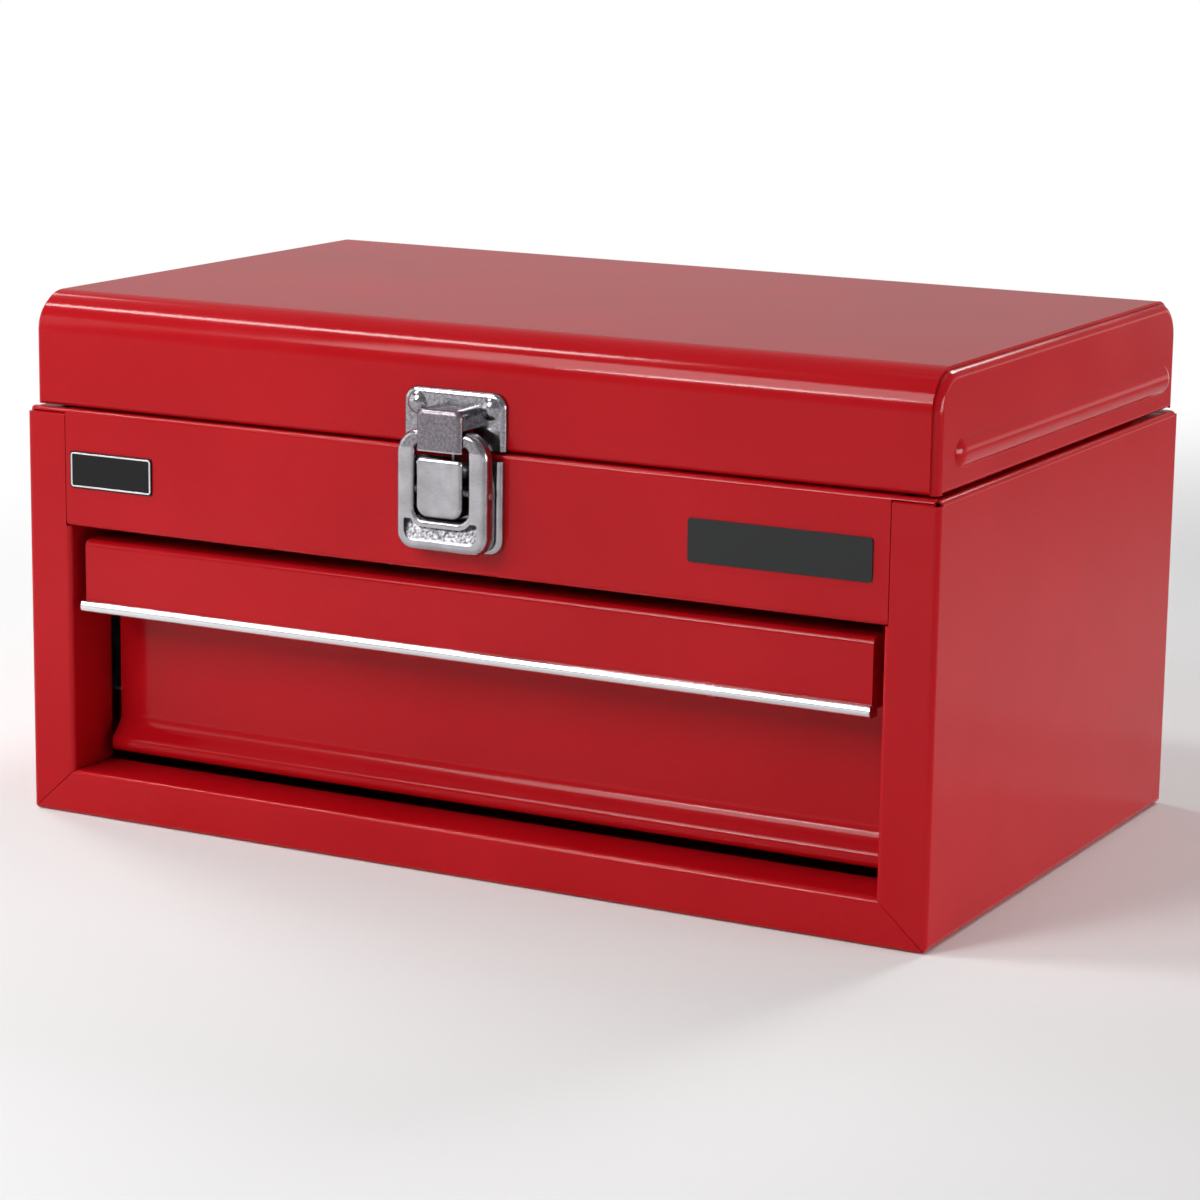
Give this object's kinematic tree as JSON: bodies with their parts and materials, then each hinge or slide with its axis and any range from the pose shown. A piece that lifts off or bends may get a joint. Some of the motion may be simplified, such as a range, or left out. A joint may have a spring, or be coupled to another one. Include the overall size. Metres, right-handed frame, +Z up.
{
  "type": "portable tool box",
  "caption": "Small red sheet-steel tool box: hinged lid over a top compartment, sprung front latch, and a drawer on ball-bearing slides.",
  "frame": {"origin": "centre of the carcass's base, on the surface it stands on", "axes": "+X to the right seen from the front, -Y out of the drawer front, +Z up"},
  "size_m": [0.355, 0.2337, 0.19],
  "materials": {
    "red_paint": "glossy powder coat",
    "latch_chrome": "bright nickel plate, stamped",
    "slide_steel": "bright zinc plate",
    "zinc_plate": "satin zinc plate",
    "trim_aluminium": "satin anodised",
    "badge_black": "smooth black, bare",
    "badge_grey": "smooth charcoal, bare"
  },
  "bodies": {
    "carcass": {"body_shell": "red_paint", "back_panel": "red_paint", "front_rail": "red_paint", "shelf": "red_paint", "badge_left": "badge_black", "badge_right": "badge_grey", "slide_bracket_left": "red_paint", "slide_bracket_right": "red_paint", "slide_outer_left": "slide_steel", "slide_outer_right": "slide_steel", "slide_rivets": "zinc_plate", "hinge_leaf_body": "zinc_plate", "hinge_pin": "zinc_plate", "latch_base": "latch_chrome", "latch_cover": "latch_chrome", "latch_pin": "zinc_plate", "latch_spring": "zinc_plate", "base_rivets": "zinc_plate"},
    "lid": {"lid_shell": "red_paint", "lid_end_left": "red_paint", "lid_end_right": "red_paint", "hinge_leaf_lid": "zinc_plate", "latch_keeper": "latch_chrome", "keeper_rivets": "latch_chrome"},
    "lever": {"latch_lever": "latch_chrome"},
    "drawer": {"drawer_body": "red_paint", "drawer_front": "red_paint", "drawer_trim": "trim_aluminium", "slide_inner_left": "slide_steel", "slide_inner_right": "slide_steel", "drawer_rivets": "zinc_plate"},
    "cage_left": {"ball_cage_left": "slide_steel"},
    "cage_right": {"ball_cage_right": "slide_steel"}
  },
  "joints": [
    {"name": "lid_hinge", "type": "hinge", "parent": "carcass", "child": "lid", "pos_m": [0, 0.1101, 0.1488], "axis": [-1, 0, 0], "range_deg": [0, 100]},
    {"name": "latch_rock", "type": "hinge", "parent": "carcass", "child": "lever", "pos_m": [0, -0.1162, 0.1359], "axis": [-1, 0, 0], "range_deg": [0, 8], "stiffness_Nm_per_rad": 0.05, "springref_deg": -20.05, "deforming": ["latch_spring"]},
    {"name": "drawer_slide", "type": "slide", "parent": "carcass", "child": "drawer", "axis": [0, -1, 0], "range_m": [0, 0.126]},
    {"name": "cage_left_roll", "type": "slide", "parent": "carcass", "child": "cage_left", "axis": [0, -1, 0], "range_m": [0, 0.063]},
    {"name": "cage_right_roll", "type": "slide", "parent": "carcass", "child": "cage_right", "axis": [0, -1, 0], "range_m": [0, 0.063]}
  ],
  "couplings": [
    {"joint": "cage_left_roll", "follows": "drawer_slide", "ratio": 0.5},
    {"joint": "cage_right_roll", "follows": "drawer_slide", "ratio": 0.5}
  ]
}
